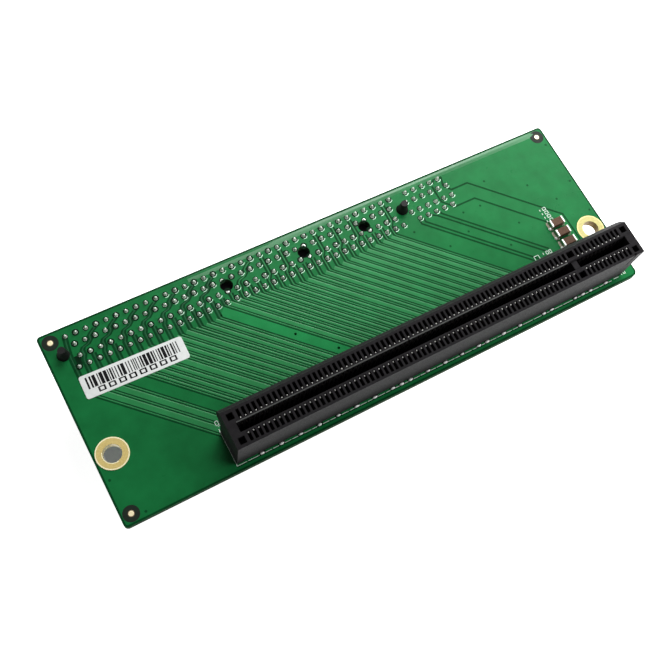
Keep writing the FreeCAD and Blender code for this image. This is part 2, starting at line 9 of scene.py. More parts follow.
import bmesh
import bpy
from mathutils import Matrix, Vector


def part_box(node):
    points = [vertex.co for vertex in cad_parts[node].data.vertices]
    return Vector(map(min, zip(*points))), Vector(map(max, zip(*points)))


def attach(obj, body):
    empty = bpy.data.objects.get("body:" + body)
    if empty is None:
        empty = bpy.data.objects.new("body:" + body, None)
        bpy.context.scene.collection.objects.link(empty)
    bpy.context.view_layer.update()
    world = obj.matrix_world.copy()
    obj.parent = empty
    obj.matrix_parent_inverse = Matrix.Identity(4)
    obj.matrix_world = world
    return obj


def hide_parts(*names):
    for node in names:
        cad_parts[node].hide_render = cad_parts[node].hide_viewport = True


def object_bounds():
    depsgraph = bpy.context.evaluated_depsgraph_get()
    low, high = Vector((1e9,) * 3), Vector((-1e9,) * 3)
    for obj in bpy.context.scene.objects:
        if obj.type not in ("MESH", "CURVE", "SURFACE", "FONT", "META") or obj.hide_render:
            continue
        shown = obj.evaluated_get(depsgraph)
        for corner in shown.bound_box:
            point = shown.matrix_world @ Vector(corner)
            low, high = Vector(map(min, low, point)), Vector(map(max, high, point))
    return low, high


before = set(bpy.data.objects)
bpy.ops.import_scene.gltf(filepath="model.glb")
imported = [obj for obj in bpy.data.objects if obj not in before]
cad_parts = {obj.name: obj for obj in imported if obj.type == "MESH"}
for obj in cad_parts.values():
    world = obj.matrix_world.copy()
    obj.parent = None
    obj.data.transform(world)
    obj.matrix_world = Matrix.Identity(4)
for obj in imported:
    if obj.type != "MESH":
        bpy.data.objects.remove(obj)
CAD_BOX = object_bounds()
MM = 0.001


def box_mm(node):
    """The lowest and highest corner of a CAD node, in millimetres."""
    return [[value / MM for value in corner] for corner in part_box(node)]


# ---- Places, from the CAD model, the connectors' standard and the photo ----
(BOARD_LEFT, BOARD_FRONT, BOTTOM), (BOARD_RIGHT, BOARD_BACK, TOP) = box_mm("circuit_board")
SLOT_LOW, SLOT_HIGH = box_mm("slot_housing")
PLUG_LOW, PLUG_HIGH = box_mm("plug_housing")
KEY_TO_END = 14.5  # middle of the key to a connector's short end
PLUG_X = PLUG_HIGH[0] - KEY_TO_END
PLUG_Y = (PLUG_LOW[1] + PLUG_HIGH[1]) / 2
SLOT_X = SLOT_HIGH[0] - KEY_TO_END
SLOT_Y = (box_mm("slot_contacts_front_long")[0][1] + box_mm("slot_contacts_back_long")[1][1]) / 2
SLOT_TOP = SLOT_HIGH[2]
FIRST_CONTACT = 1.5  # middle of the key to the first contact on each side
SHORT_CONTACTS = 11
LONG_CONTACTS = 71
LAST_CONTACT = -FIRST_CONTACT - LONG_CONTACTS + 1
INNER_ROW = 1.25
OUTER_ROW = 3.25
EMPTY_PEGS = (-9.15, -23.15, -40.15)  # holes for the pegs of shorter plugs, from the plug's key
PEG_RADIUS = 1.28
RING_BORE = 3.5

# levels of the board's print
COPPER_Z = TOP + 0.010
RING_Z = TOP + 0.012
SILK_Z = TOP + 0.026


# ---- Node materials ----
def new_material(name, color, roughness, metallic=0.0, shine=0.5):
    """A material with one Principled shader."""
    material = bpy.data.materials.new(name)
    material.use_nodes = True
    shader = material.node_tree.nodes["Principled BSDF"]
    shader.inputs["Base Color"].default_value = (*color, 1.0)
    shader.inputs["Roughness"].default_value = roughness
    shader.inputs["Metallic"].default_value = metallic
    shader.inputs["Specular IOR Level"].default_value = shine
    return material


def node(owner, kind, operation=None, **inputs):
    """Adds a node to a material or world; values that are sockets are linked, and others are set.

    An input goes by its name, or by its number, as in at0.
    """
    made = owner.node_tree.nodes.new(kind)
    if operation:
        made.operation = operation
    for name, value in inputs.items():
        socket = made.inputs[int(name[2:]) if name.startswith("at") else name.replace("_", " ")]
        if isinstance(value, bpy.types.NodeSocket):
            owner.node_tree.links.new(value, socket)
        else:
            socket.default_value = value
    return made


def connect(material, socket, name):
    """Links a socket to the material's shader."""
    shader = material.node_tree.nodes["Principled BSDF"]
    material.node_tree.links.new(socket, shader.inputs[name])


def noise(material, per_mm, detail=3.0, stretch=(1, 1, 1)):
    """Noise fixed to the object, with about per_mm features in a millimetre."""
    place = node(material, "ShaderNodeTexCoord").outputs["Object"]
    place = node(material, "ShaderNodeMapping", Vector=place, Scale=stretch).outputs["Vector"]
    made = node(material, "ShaderNodeTexNoise", Vector=place, Scale=per_mm / MM, Detail=detail,
                Roughness=0.55)
    return made.outputs["Fac"]


def ramp(material, factor, *stops):
    """A colour ramp between two stops, each a position and a colour."""
    made = node(material, "ShaderNodeValToRGB", Fac=factor)
    for element, (position, color) in zip(made.color_ramp.elements, stops):
        element.position = position
        element.color = (*color, 1.0)
    return made.outputs["Color"]


def spread(material, per_mm, low, high):
    """Noise that mostly runs from low to high."""
    made = node(material, "ShaderNodeMapRange", Value=noise(material, per_mm), at1=0.3, at2=0.7, at3=low,
                at4=high)
    return made.outputs["Result"]


def bump(material, height, depth_mm, strength=1.0):
    """Bumps the surface by a height of up to depth_mm."""
    made = node(material, "ShaderNodeBump", Height=height, Distance=depth_mm * MM, Strength=strength)
    return made.outputs["Normal"]


def plain_finish(name, dark, light, roughness, per_mm, depth_mm, metallic=0.0, shine=0.5):
    """A finish with cloudy colour, uneven gloss and fine bumps."""
    material = new_material(name, light, roughness, metallic, shine)
    clouds = noise(material, per_mm)
    connect(material, ramp(material, clouds, (0.3, dark), (0.7, light)), "Base Color")
    connect(material, spread(material, per_mm * 2.3, roughness * 0.85, roughness * 1.15), "Roughness")
    connect(material, bump(material, noise(material, per_mm * 5, detail=4.0), depth_mm), "Normal")
    return material


EDGE_DARK = (0.012, 0.036, 0.014)
EDGE_LIGHT = (0.045, 0.085, 0.045)


def mask_finish(name, dark, light, shine):
    """Solder mask with the weave of the laminate under it on the faces, and bare laminate on the edges."""
    material = new_material(name, light, 0.3, shine=shine)
    clouds = noise(material, 0.25, detail=5.0)
    mask = ramp(material, clouds, (0.32, dark), (0.68, light))
    fibres = ramp(material, noise(material, 3.0, stretch=(0.2, 0.2, 1.6)),
                  (0.35, EDGE_DARK), (0.65, EDGE_LIGHT))
    normal = node(material, "ShaderNodeNewGeometry").outputs["Normal"]
    upright = node(material, "ShaderNodeSeparateXYZ", Vector=normal).outputs["Z"]
    flat = node(material, "ShaderNodeMath", "ABSOLUTE", at0=upright).outputs[0]
    face = node(material, "ShaderNodeMapRange", Value=flat, at1=0.4, at2=0.7).outputs["Result"]
    mix = node(material, "ShaderNodeMix")
    mix.data_type = "RGBA"
    links = material.node_tree.links
    links.new(face, mix.inputs["Factor"])
    links.new(fibres, mix.inputs["A"])
    links.new(mask, mix.inputs["B"])
    connect(material, [out for out in mix.outputs if out.type == "RGBA"][0], "Base Color")
    weave = noise(material, 1.1, detail=2.0, stretch=(1.0, 1.0, 0.1))
    gloss = node(material, "ShaderNodeMapRange", Value=face, at3=0.8, at4=spread(material, 0.6, 0.27, 0.36))
    connect(material, gloss.outputs["Result"], "Roughness")
    connect(material, bump(material, weave, 0.003, 0.5), "Normal")
    return material


def shaded_and_highlit_finish(name, dark, bright, low, high):
    """Spring metal, near black up to the height low as painted shade, and bright from the height high as a
    painted highlight.
    """
    material = new_material(name, bright, 0.34, 0.35)
    place = node(material, "ShaderNodeTexCoord").outputs["Object"]
    height = node(material, "ShaderNodeSeparateXYZ", Vector=place).outputs["Z"]
    rise = node(material, "ShaderNodeMapRange", Value=height, at1=low * MM, at2=high * MM).outputs["Result"]
    # share of the painted highlight, in patches
    highlight = node(material, "ShaderNodeMath", "MULTIPLY", at0=rise, at1=spread(material, 1.5, 0.85, 1.0))
    connect(material, ramp(material, highlight.outputs[0], (0.0, dark), (0.9, bright)), "Base Color")
    connect(material, spread(material, 3.0, 0.30, 0.42), "Roughness")
    connect(material, bump(material, noise(material, 6.0), 0.004), "Normal")
    return material


POUR = mask_finish("mask_over_copper", (0.0052, 0.132, 0.033), (0.0075, 0.166, 0.043), 0.08)
GAP = mask_finish("mask_over_laminate", (0.001, 0.042, 0.0105), (0.0022, 0.058, 0.016), 0.04)
TRACE = mask_finish("mask_over_trace", (0.012, 0.165, 0.045), (0.0165, 0.205, 0.058), 0.14)
PLAIN = mask_finish("mask_over_plain_copper", (0.0068, 0.185, 0.047), (0.0095, 0.228, 0.06), 0.1)
STEP = mask_finish("mask_over_step", (0.014, 0.182, 0.05), (0.0185, 0.226, 0.065), 0.2)
ROLL = mask_finish("mask_over_rolled_edge", (0.0056, 0.13, 0.0325), (0.008, 0.164, 0.0425), 0.42)
DIMPLE = mask_finish("mask_over_via", (0.0012, 0.052, 0.014), (0.0025, 0.075, 0.02), 0.05)
FIELD = plain_finish("bare_laminate", (0.002, 0.006, 0.003), (0.004, 0.011, 0.005), 0.5, 1.0, 0.004,
                     shine=0.15)
HALO = plain_finish("bare_brown_laminate", (0.06, 0.03, 0.01), (0.1, 0.055, 0.018), 0.5, 3.0, 0.004)
BLACK = plain_finish("black_moulding", (0.0092, 0.0085, 0.0094), (0.0145, 0.0134, 0.0148), 0.52, 1.2, 0.006,
                     shine=0.055)
PEG_BLACK = plain_finish("plug_moulding", (0.004, 0.004, 0.0042), (0.007, 0.007, 0.0075), 0.5, 1.2, 0.006,
                         shine=0.15)
GOLD = plain_finish("gold_plating", (0.5, 0.385, 0.125), (0.64, 0.5, 0.18), 0.42, 3.0, 0.01, metallic=0.3)
# the same gold painted darker for the right ring, where more light falls: painted shade
GOLD_PAINTED_DARKER = plain_finish("gold_plating_painted_darker", (0.36, 0.325, 0.115), (0.45, 0.405, 0.15), 0.42, 3.0, 0.01,
                         metallic=0.3)
# painted highlights on the rings' edges: a duller one for the right ring, a brighter one for the left ring
GOLD_EDGE_HIGHLIGHT = plain_finish("gold_edge_painted_highlight", (0.5, 0.4, 0.155), (0.66, 0.55, 0.25), 0.3, 3.0, 0.006, metallic=0.4)
BRIGHT_GOLD_EDGE_HIGHLIGHT = plain_finish("bright_gold_edge_painted_highlight", (0.8, 0.72, 0.42), (0.95, 0.88, 0.6), 0.3, 3.0, 0.006,
                          metallic=0.5)
DOT = plain_finish("gold_dot", (0.8, 0.7, 0.42), (0.95, 0.86, 0.58), 0.3, 3.0, 0.006, metallic=0.4)
BARREL = plain_finish("barrel_plating", (0.2, 0.12, 0.035), (0.42, 0.28, 0.09), 0.45, 1.5, 0.01, metallic=0.3)
CONTACT = plain_finish("contact_metal", (0.42, 0.38, 0.3), (0.72, 0.68, 0.58), 0.34, 2.0, 0.006, metallic=1.0)
SPRING_PAINTED_LIGHT = shaded_and_highlit_finish("spring_metal_painted_shade_and_highlight", (0.018, 0.016, 0.014), (0.56, 0.56, 0.53), SLOT_TOP - 0.75,
                       SLOT_TOP - 0.42)
# solder, tinted green as a painted reflection of the board
SOLDER_WITH_PAINTED_GREEN_REFLECTION = plain_finish("solder", (0.62, 0.68, 0.6), (0.95, 1.0, 0.93), 0.27, 2.0, 0.012, metallic=0.45)
# copper-free mask drawn near black: painted shade round the plug's joints and at the foot of the slot's front
# wall
CLEARANCE_WITH_PAINTED_SHADE = plain_finish("mask_clearance_with_painted_shade", (0.0008, 0.012, 0.004), (0.0018, 0.024, 0.008), 0.5, 2.0, 0.006, shine=0.04)
# painted glint, greenish, on the lower right of each of the plug's pads
PAINTED_GLINT = plain_finish("solder_painted_glint", (0.26, 0.46, 0.33), (0.52, 0.78, 0.6), 0.35, 1.2, 0.006, metallic=0.2)
# dark disc as painted shade of the hollow in a lead's tip
HOLLOW_SHADE = plain_finish("lead_hollow_painted_shade", (0.014, 0.02, 0.015), (0.06, 0.066, 0.05), 0.5, 1.0, 0.006, shine=0.1)
# the trace finish darkened as painted shade, for traces among the leads on the left
TRACE_PAINTED_SHADE = mask_finish("mask_over_trace_painted_shade", (0.005, 0.07, 0.023), (0.008, 0.095, 0.033), 0.15)
# light grey painted highlight on the lead-in along the groove's back
LEAD_IN_HIGHLIGHT = plain_finish("moulding_painted_highlight", (0.045, 0.047, 0.045), (0.14, 0.147, 0.138), 0.4, 0.4, 0.006)
# near black, as painted shade inside the slit of the front wall
SLIT_PAINTED_SHADE = plain_finish("slit_painted_shade", (0.0006, 0.0006, 0.0006), (0.0012, 0.0012, 0.0012), 0.6, 1.0, 0.004,
                    shine=0.02)
FILLET = plain_finish("solder_fillet", (0.22, 0.19, 0.14), (0.46, 0.42, 0.34), 0.26, 1.6, 0.012, metallic=0.6)
TIN = plain_finish("tinned_end", (0.7, 0.7, 0.67), (0.9, 0.9, 0.87), 0.3, 2.0, 0.01, metallic=0.8)
CERAMIC = plain_finish("chip_ceramic", (0.078, 0.042, 0.026), (0.118, 0.066, 0.042), 0.5, 2.5, 0.008,
                       shine=0.1)
# solder made matte and near white, as a painted highlight
SOLDER_PAINTED_HIGHLIGHT = plain_finish("matte_solder", (0.78, 0.8, 0.78), (0.94, 0.95, 0.93), 0.45, 2.0, 0.008, metallic=0.15)
PAPER = plain_finish("label_paper", (0.72, 0.75, 0.735), (0.8, 0.825, 0.81), 0.6, 1.5, 0.006)
INK = plain_finish("label_ink", (0.004, 0.004, 0.005), (0.009, 0.009, 0.01), 0.6, 3.0, 0.004, shine=0.06)
SILK = plain_finish("white_print", (0.5, 0.64, 0.54), (0.78, 0.88, 0.8), 0.55, 5.0, 0.008)


# ---- Mesh shapes ----
LONGEST_MITRE = 0.5  # least cosine that a ribbon's corner is drawn out by
QUARTER = range(0, 91, 15)  # angles of a round corner, in degrees


def oval(x, y, z, wide, deep, sides):
    """A level oval, anticlockwise, from its half width and half depth."""
    turns = [2 * math.pi * side / sides for side in range(sides)]
    return [(x + wide * math.cos(turn), y + deep * math.sin(turn), z) for turn in turns]


def new_object(name, data):
    """An object in the scene that shows the data."""
    made = bpy.data.objects.new(name, data)
    bpy.context.scene.collection.objects.link(made)
    return made


class Shape:
    """Points and faces in millimetres that grow until they become one piece."""

    def __init__(self):
        self.points = []
        self.faces = []

    def add(self, points, faces):
        """Adds points, and faces that count from the first of them."""
        start = len(self.points)
        self.points += points
        self.faces += [[start + number for number in face] for face in faces]

    def flat(self, points):
        """One flat face."""
        self.add(points, [list(range(len(points)))])

    def rings(self, rings, cap_first=False, cap_last=True):
        """Joins closed rings of equally many points by a skin."""
        count = len(rings[0])
        points = [point for ring in rings for point in ring]
        faces = []
        for row in range(len(rings) - 1):
            for side in range(count):
                here, there = row * count + side, row * count + (side + 1) % count
                faces.append([here, there, there + count, here + count])
        if cap_first:
            faces.append(list(range(count))[::-1])
        if cap_last:
            faces.append([(len(rings) - 1) * count + side for side in range(count)])
        self.add(points, faces)

    def turned(self, x, y, profile, sides, tilt=(0.0, 0.0)):
        """A body turned about an upright axis from (radius, height) pairs; it may lean a little."""
        rings = []
        for radius, height in profile:
            lean_x, lean_y = (lean * (height - profile[0][1]) for lean in tilt)
            rings.append([(px + lean_x, py + lean_y, pz)
                          for px, py, pz in oval(x, y, height, radius, radius, sides)])
        if profile[-1][1] < profile[0][1]:
            rings = [ring[::-1] for ring in rings]
        self.rings(rings)

    def disc(self, x, y, z, radius, sides):
        """A flat disc that faces up."""
        self.flat(oval(x, y, z, radius, radius, sides))

    def annulus(self, x, y, z, inner, outer, sides, start=0.0, end=360.0):
        """A flat ring, or the part of one between two angles in degrees, that faces up."""
        steps = sides if end - start >= 360.0 else sides + 1
        points = []
        for step in range(steps):
            angle = math.radians(start + (end - start) * step / sides)
            for radius in (inner, outer):
                points.append((x + radius * math.cos(angle), y + radius * math.sin(angle), z))
        faces = []
        for step in range(sides):
            here, there = 2 * step, 2 * ((step + 1) % steps)
            faces.append([here, here + 1, there + 1, there])
        self.add(points, faces)

    def ribbon(self, path, width, z, crown=0.0, ridge=0.0):
        """A flat ribbon along a path, with mitred corners, or a low roof that is crown high.

        Ridge is how far off centre the roof's top lies, from 0 at the middle to 1 at the left edge.
        """
        points = []
        for number, (x, y) in enumerate(path):
            before = Vector(path[max(number - 1, 0)])
            after = Vector(path[min(number + 1, len(path) - 1)])
            here = Vector((x, y))
            into = (here - before).normalized() if number else (after - here).normalized()
            out = (after - here).normalized() if number < len(path) - 1 else into
            mean = (into + out).normalized()
            side = Vector((-mean.y, mean.x)) * width / 2 / max(LONGEST_MITRE, mean.dot(into))
            points += [(x + side.x, y + side.y, z), (x + side.x * ridge, y + side.y * ridge, z + crown),
                       (x - side.x, y - side.y, z)]
        faces = []
        for step in range(len(path) - 1):
            here = 3 * step
            if crown:
                faces += [[here, here + 1, here + 4, here + 3], [here + 1, here + 2, here + 5, here + 4]]
            else:
                faces.append([here, here + 2, here + 5, here + 3])
        self.add(points, faces)

    def block(self, low, high, bevel=0.0):
        """A box with its upper edges taken off."""
        (x0, y0, z0), (x1, y1, z1) = low, high
        levels = [(0.0, z0), (0.0, z1 - bevel)] + ([(bevel, z1)] if bevel else [])
        self.rings([[(x0 + inset, y0 + inset, z), (x1 - inset, y0 + inset, z), (x1 - inset, y1 - inset, z),
                     (x0 + inset, y1 - inset, z)] for inset, z in levels], cap_first=True)

    def piece(self, name, material, slot, replaces=(), smooth=0.0):
        """Makes the shape a piece that rides on the part's body."""
        mesh = bpy.data.meshes.new(name)
        mesh.from_pydata([[value * MM for value in point] for point in self.points], [], self.faces)
        work = bmesh.new()
        work.from_mesh(mesh)
        if smooth:
            bmesh.ops.recalc_face_normals(work, faces=work.faces)
        else:
            for face in work.faces:
                face.normal_update()
                if face.normal.z < -0.1:  # print faces up, and leans a little at most
                    face.normal_flip()
        work.to_mesh(mesh)
        work.free()
        mesh.materials.append(material)
        made = new_object(name, mesh)
        if smooth:
            for polygon in mesh.polygons:
                polygon.use_smooth = True
            mesh.set_sharp_from_angle(angle=math.radians(smooth))
        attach(made, "root")
        if replaces:
            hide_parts(*replaces)


# ---- Soldered leads ----
ROWS = (("back_outer", OUTER_ROW), ("back_inner", INNER_ROW),
        ("front_inner", -INNER_ROW), ("front_outer", -OUTER_ROW))

# a soldered lead, as radius and height: its foot from the board, and its tip from the lead's own height
LEAD_FOOT = ((0.40, 0.0), (0.35, 0.05), (0.315, 0.16), (0.29, 0.32), (0.25, 0.46), (0.20, 0.56))
LEAD_TIP = ((0.17, -0.05), (0.12, 0.0), (0.05, 0.01))
LEAD_HEIGHT = 0.72
LEAD_LEAN = 0.11
LEAD_SIDES = 14

# leads near an empty peg hole are low, and their solder stops at its edge
HOLE_NEAR = PEG_RADIUS + 0.45
HOLE_EDGE = PEG_RADIUS + 0.05
LOW_LEAD = 0.3

# copper-free rings round the plug's leads, near black as painted shade round the joints: inner radius, and
# outer one of signal leads and of others
RING_INNER = 0.38
RING_SIGNAL = 0.68
RING_OTHER = 0.56
RING_SIDES = 20

# painted glints on the mask's step beside a pad: radii, angles in degrees, and where they begin
GLINT_RADII = (0.60, 0.73)
GLINT_ANGLES = (245, 335)
GLINT_SHIFT = 0.04
GLINT_LEFT = -52.0
GLINT_HOLE = PEG_RADIUS + 0.8

# a dark disc on a lead's tip, as painted shade of its hollow: radius, and height above the tip
HOLLOW_RADIUS = 0.085
HOLLOW_LIFT = 0.016

# the odd opening of the mask among the plug's last leads
OPENING_Y = -2.25
OPENING = ((-0.6, -1.1), (0.5, -1.1), (1.15, -0.3), (1.15, 0.35), (0.5, 1.1), (-0.6, 1.1), (-1.2, 0.4),
           (-1.2, -0.3))


def row_places(inner):
    """Places of a row's leads from its connector's key: the long side's, then the short side's."""
    near, far = (FIRST_CONTACT + 1, FIRST_CONTACT) if inner else (FIRST_CONTACT, FIRST_CONTACT + 1)
    long_side = [-near - 2 * step for step in range(LONG_CONTACTS // 2 + (0 if inner else 1))]
    short_side = [far + 2 * step for step in range(SHORT_CONTACTS // 2 + (1 if inner else 0))]
    return long_side + short_side


def carries_signal(row, step, offset):
    """Whether a lead has a wide ring: every second one, on the key's long side."""
    return step % 2 == (0 if row > 0 else 1) and offset < 0


def near_any(x, y, places, reach):
    """Whether a point is nearer than reach to one of the places."""
    return any(math.hypot(x - place_x, y - place_y) < reach for place_x, place_y in places)


def joint(shape, x, y, face, up, chance, holes):
    """A dome of solder round a lead, cut off at an empty peg hole; gives the place of its tip's hollow."""
    height = LEAD_HEIGHT + chance.uniform(-0.06, 0.02)
    lean = (chance.uniform(-LEAD_LEAN, LEAD_LEAN), chance.uniform(-LEAD_LEAN, LEAD_LEAN))
    swell = chance.uniform(0.94, 1.04)
    profile = list(LEAD_FOOT) + [(radius, height + rise) for radius, rise in LEAD_TIP]
    if near_any(x, y, holes, HOLE_NEAR):
        profile = [(radius, rise * LOW_LEAD) for radius, rise in profile]
        height *= LOW_LEAD
    profile = [(radius * swell, face + up * rise) for radius, rise in profile]
    start = len(shape.points)
    shape.turned(x, y, profile, LEAD_SIDES, tilt=lean)
    for number in range(start, len(shape.points)):
        px, py, pz = shape.points[number]
        for hole_x, hole_y in holes:
            away = math.hypot(px - hole_x, py - hole_y)
            if away < HOLE_EDGE:
                grow = HOLE_EDGE / away
                px, py = hole_x + (px - hole_x) * grow, hole_y + (py - hole_y) * grow
        shape.points[number] = (px, py, pz)
    return x + lean[0] * height, y + lean[1] * height, face + up * (height + HOLLOW_LIFT)


def make_joints():
    """Both connectors' soldered leads; round the plug's, copper-free rings darkened as painted shade, painted
    glints, and dark discs of painted shade on the tips.
    """
    chance = random.Random(16)
    rings, glints, hollows = Shape(), Shape(), Shape()
    peg_holes = [(PLUG_X + x, PLUG_Y) for x in EMPTY_PEGS]
    sides = (("plug", PLUG_X, PLUG_Y, TOP, 1, peg_holes), ("slot", SLOT_X, SLOT_Y, BOTTOM, -1, ()))
    for prefix, key_x, key_y, face, up, holes in sides:
        for name, row in ROWS:
            shape = Shape()
            for step, offset in enumerate(row_places(abs(row) == INNER_ROW)):
                x, y = key_x + offset, key_y + row
                tip = joint(shape, x, y, face, up, chance, holes)
                if prefix == "slot":
                    continue
                outer = RING_SIGNAL if carries_signal(row, step, offset) else RING_OTHER
                rings.annulus(x, y, RING_Z, RING_INNER, outer, RING_SIDES)
                hollows.disc(tip[0] - 0.03, tip[1] + 0.02, tip[2], HOLLOW_RADIUS, 8)
                if offset > GLINT_LEFT and not near_any(x, y - 0.3, holes, GLINT_HOLE):
                    glints.annulus(x + GLINT_SHIFT, y - GLINT_SHIFT, SILK_Z, *GLINT_RADII, 8, *GLINT_ANGLES)
            label = "%s_joints_%s" % (prefix, name)
            shape.piece("soldered_" + label, SOLDER_WITH_PAINTED_GREEN_REFLECTION, "solder", [label], smooth=65)
    # the odd opening is drawn in the same near-black finish of painted shade
    rings.flat([(PLUG_X + LAST_CONTACT + x, PLUG_Y + OPENING_Y + y, COPPER_Z - 0.002) for x, y in OPENING])
    rings.piece("clearance_rings_painted_shade", CLEARANCE_WITH_PAINTED_SHADE, "laminate")
    glints.piece("pad_painted_glints", PAINTED_GLINT, "solder")
    hollows.piece("lead_tip_painted_shade", HOLLOW_SHADE, "solder")


# ---- The fan of trace pairs and the other copper; places are from the plug's key ----
PLAIN_TOTAL = -49.9  # the pair that has plain copper above it

# groups of trace pairs: how many, x + y of the first one's sloping part, and the step to the next
FAN = ((9, -8.65, -2.16), (2, -28.1, -1.65), (8, -31.95, -1.68), (1, -45.95, 0.0), (3, PLAIN_TOTAL, -2.03),
       (1, -55.5, 0.0), (3, -57.8, -2.03), (1, -63.4, 0.0), (3, -65.95, -1.98), (1, -71.5, 0.0),
       (3, -75.65, -2.6))
FIRST_PAIR = -4.2  # x of the first pair between the leads
PAIR_STEP = -2.0
PAIR_HALF = 0.34  # middle of a pair to its copper-free lines
HIGHEST_BEND = -3.4  # y where the first pairs turn
FAN_END = -25.5  # y where the pairs run under the slot
LEFT_FAN_END = FAN_END - 1.7

# courses between the leads, from the pair's x: winding through all rows, nearly straight, and short
WINDING = ((4.3, 2.7), (3.3, 2.1), (2.7, 1.6), (2.6, 0.8), (1.9, 0.2), (0.8, -0.1), (0.4, -0.6), (0.4, -1.6),
           (0.0, -2.4))
STRAIGHT = ((0.8, 2.5), (0.8, -1.4), (0.0, -2.5))
SHORT = ((0.6, 3.2), (0.25, 1.3), (0.0, -0.6))
FIRST_WINDING = 16
SHORT_PAIR = 34
HOLE_CLEAR = PEG_RADIUS + 0.75  # traces keep this far from an empty peg hole's middle

# where x + y is above these, the copper is smooth, traces among the leads keep the lighter trace finish
# rather than the one darkened as painted shade, and pairs end early
SMOOTH_ABOVE = -27.0
LIGHT_ABOVE = -45.0
SHORT_ABOVE = -78.0

GAP_WIDTH = 0.40
NARROW_GAP = 0.33
LEAD_TRACE_WIDTH = 0.22
WIDEST_BAND = 2.7  # pairs further apart than this have no band of copper between them
ROLLED_EDGE = 0.18  # width of the rolled edge of the copper between pairs

SINGLE_TRACES = (
    # four lines beside the fan, and two that pass the chips
    ((2.15, -3.7), (2.15, -4.6), (19.6, -22.05)),
    ((3.15, -3.6), (3.15, -4.5), (20.7, -22.05)),
    ((4.6, -3.3), (6.2, -4.35), (23.1, -21.25)),
    ((6.9, -3.4), (7.3, -4.3), (24.0, -21.0)),
    ((9.0, 2.6), (10.0, 3.9), (11.1, 4.05), (11.5, 3.2), (10.9, 1.4), (12.1, -0.2), (16.1, -0.2),
     (28.35, -12.4), (31.4, -15.35), (31.6, -22.3)),
    ((8.6, 2.15), (8.6, -1.8), (10.65, -4.05), (15.65, -4.05), (27.1, -15.5)),
)

# small tented vias
VIAS = ((15.5, 4.1), (24.6, 4.0), (33.4, 4.0), (37.4, 0.7), (19.7, -1.4), (28.0, -6.2), (37.4, -9.2),
        (32.2, -11.7), (21.4, -13.1), (15.8, -6.1), (11.6, -6.0), (10.3, -10.3), (5.0, -11.6),
        (17.0, -16.8), (-0.3, -5.6), (37.5, -17.0), (-32.8, -14.9), (-26.6, -21.1), (-75.3, -25.2),
        (-76.1, -21.3), (-72.0, -33.1), (-12.0, -30.2))
VIA_RADIUS = 0.26


def near_hole(here, there):
    """Whether a straight trace between two places would run into an empty peg hole."""
    holes = [(hole, 0.0) for hole in EMPTY_PEGS]
    points = [[here[side] + (there[side] - here[side]) * step / 10 for side in (0, 1)] for step in range(11)]
    return any(near_any(x, y, holes, HOLE_CLEAR) for x, y in points)


def shifted(path, across):
    """A path moved sideways."""
    return [(x + across, y) for x, y in path]


def from_plug(path):
    """A path given from the plug's key, in the row frame."""
    return [(PLUG_X + x, PLUG_Y + y) for x, y in path]


def fan_pairs():
    """Each trace pair: its course between the leads, the place of its bend, and x + y of its sloping part."""
    number = 0
    for count, first, step in FAN:
        for place in range(count):
            x = FIRST_PAIR + PAIR_STEP * number
            total = first + step * place
            turn = total - x
            if number == SHORT_PAIR:
                start = shifted(SHORT, x)
            elif number >= FIRST_WINDING and number % 2:
                start = shifted(WINDING, x)
            elif number < FIRST_WINDING and number % 2 == 0:
                start = shifted(STRAIGHT, x)
            else:
                start = [(x, -1.9)]
            if turn > HIGHEST_BEND:
                start = [(x + 0.4, -2.9)]
                turn = HIGHEST_BEND
            if any(near_hole(point, after) for point, after in zip(start, start[1:])):
                start = [(x, -2.2)]
            yield start, (x, turn), total
            number += 1


def make_traces():
    """Copper-free lines beside each trace, the raised traces, darkened as painted shade among the leads on
    the left, and the copper between pairs.
    """
    gaps, traces, lead_traces_painted_shade, bands, plain = (Shape() for _ in range(5))
    last_bend = last_total = None
    for start, bend, total in fan_pairs():
        end_y = FAN_END if total > SHORT_ABOVE else LEFT_FAN_END
        end = (total - end_y, end_y)
        smooth = total > SMOOTH_ABOVE
        for side in (-1, 1):
            gaps.ribbon(from_plug(shifted(start + [bend], side * PAIR_HALF)), GAP_WIDTH, COPPER_Z)
            gaps.ribbon(from_plug(shifted([bend, end], side * PAIR_HALF)),
                        GAP_WIDTH if smooth else NARROW_GAP, COPPER_Z)
        # on the left, traces among the leads take the trace finish darkened as painted shade
        among_leads = traces if total > LIGHT_ABOVE else lead_traces_painted_shade
        among_leads.ribbon(from_plug(start + [bend]), LEAD_TRACE_WIDTH, COPPER_Z, crown=0.008)
        traces.ribbon(from_plug([bend, end]), 0.20 if smooth else 0.23, COPPER_Z,
                      crown=0.004 if smooth else 0.016, ridge=0.1)
        if last_bend:
            middle = (last_total + total) / 2
            foot = (middle - end_y, end_y)
            clear = (last_total - total - 2 * PAIR_HALF) / math.sqrt(2)
            if last_total - total < WIDEST_BAND:
                top = (bend[0] + last_bend[0]) / 2
                width = clear - 0.26
                bands.ribbon(from_plug([(top, middle - top), foot]), width, COPPER_Z,
                             crown=0.017 if smooth else 0.027, ridge=1.0 - 2 * ROLLED_EDGE / width)
            elif total == PLAIN_TOTAL:
                top = bend[0] + 0.9
                plain.ribbon(from_plug([(top, middle - top), foot]), clear - 0.34, COPPER_Z)
        last_bend, last_total = bend, total
    for path in SINGLE_TRACES:
        gaps.ribbon(from_plug(path), GAP_WIDTH, COPPER_Z)
    gaps.piece("copper_free_lines", GAP, "laminate")
    traces.piece("trace_pairs", TRACE, "laminate")
    lead_traces_painted_shade.piece("lead_traces_painted_shade", TRACE_PAINTED_SHADE, "laminate")
    bands.piece("rolled_copper_edges", STEP, "laminate")
    plain.piece("plain_copper", PLAIN, "laminate")


